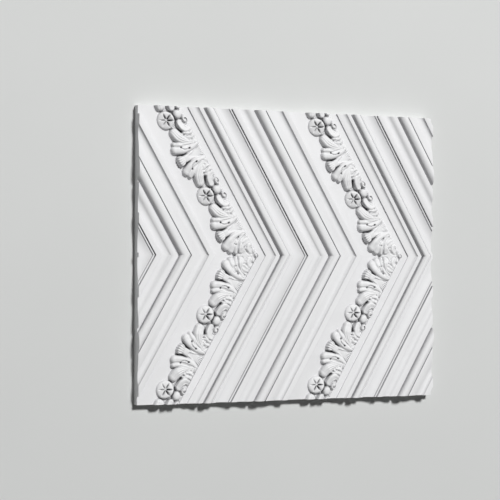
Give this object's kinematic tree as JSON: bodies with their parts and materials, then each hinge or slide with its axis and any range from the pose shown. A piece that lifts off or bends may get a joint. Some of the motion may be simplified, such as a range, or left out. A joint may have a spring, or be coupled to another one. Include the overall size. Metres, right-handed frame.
{
  "type": "wall panel tile",
  "caption": "Moulded wall panel tile with chevron mouldings mitred along the middle and a leaf and rosette garland on the field between them.",
  "frame": {"origin": "middle of the flat back, which lies on the floor", "axes": "+Z out of the decorated face, +X along the panel's width towards which the chevrons point, +Y towards the edge that is uppermost on the wall"},
  "size_m": [0.45, 0.4, 0.022],
  "materials": {
    "primed_polymer": "smooth moulded polymer, white primer, satin to matte"
  },
  "bodies": {
    "root": {"wall_panel": "primed_polymer"}
  },
  "joints": []
}
